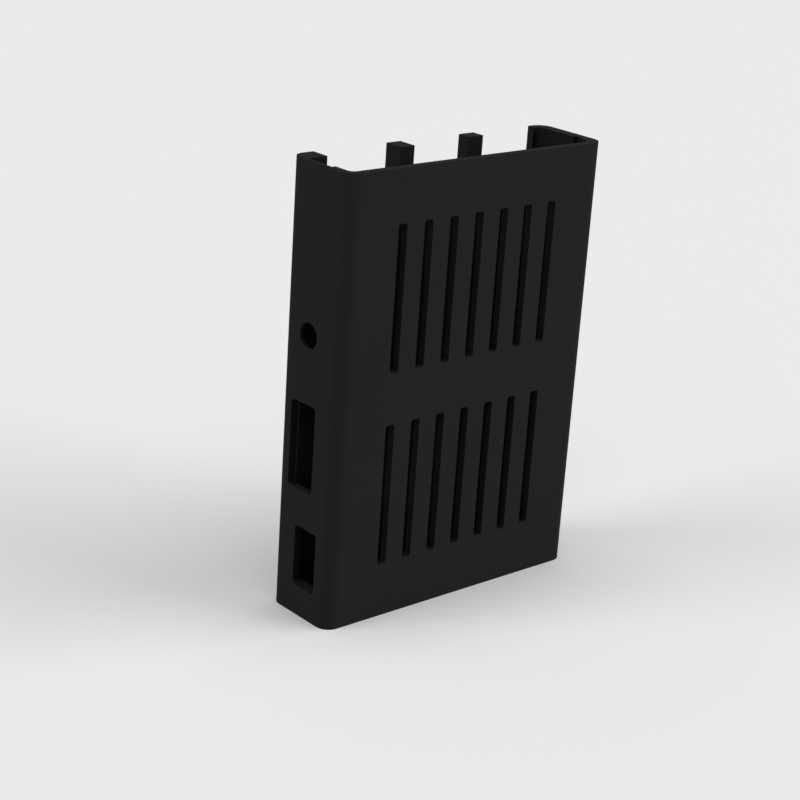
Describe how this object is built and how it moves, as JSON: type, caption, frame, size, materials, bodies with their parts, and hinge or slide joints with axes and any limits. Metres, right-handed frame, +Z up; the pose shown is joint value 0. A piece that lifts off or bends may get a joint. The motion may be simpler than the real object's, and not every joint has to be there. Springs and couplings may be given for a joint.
{
  "type": "electronics enclosure",
  "caption": "Slim plastic sleeve case for a credit-card-size single-board computer, with an open end, a slotted vent panel, port openings along the side and notches for the tall ports.",
  "frame": {"origin": "middle of the card end's footprint, on the surface that the case stands on", "axes": "+Z up along the case towards its open end, +Y across the thickness from the vented panel to the back panel, +X across the width from the port wall to the plain wall"},
  "size_m": [0.0616, 0.0168, 0.0861],
  "materials": {
    "case_plastic": "matte black moulded plastic with a fine even grain"
  },
  "bodies": {
    "root": {"case_body": "case_plastic"}
  },
  "joints": []
}
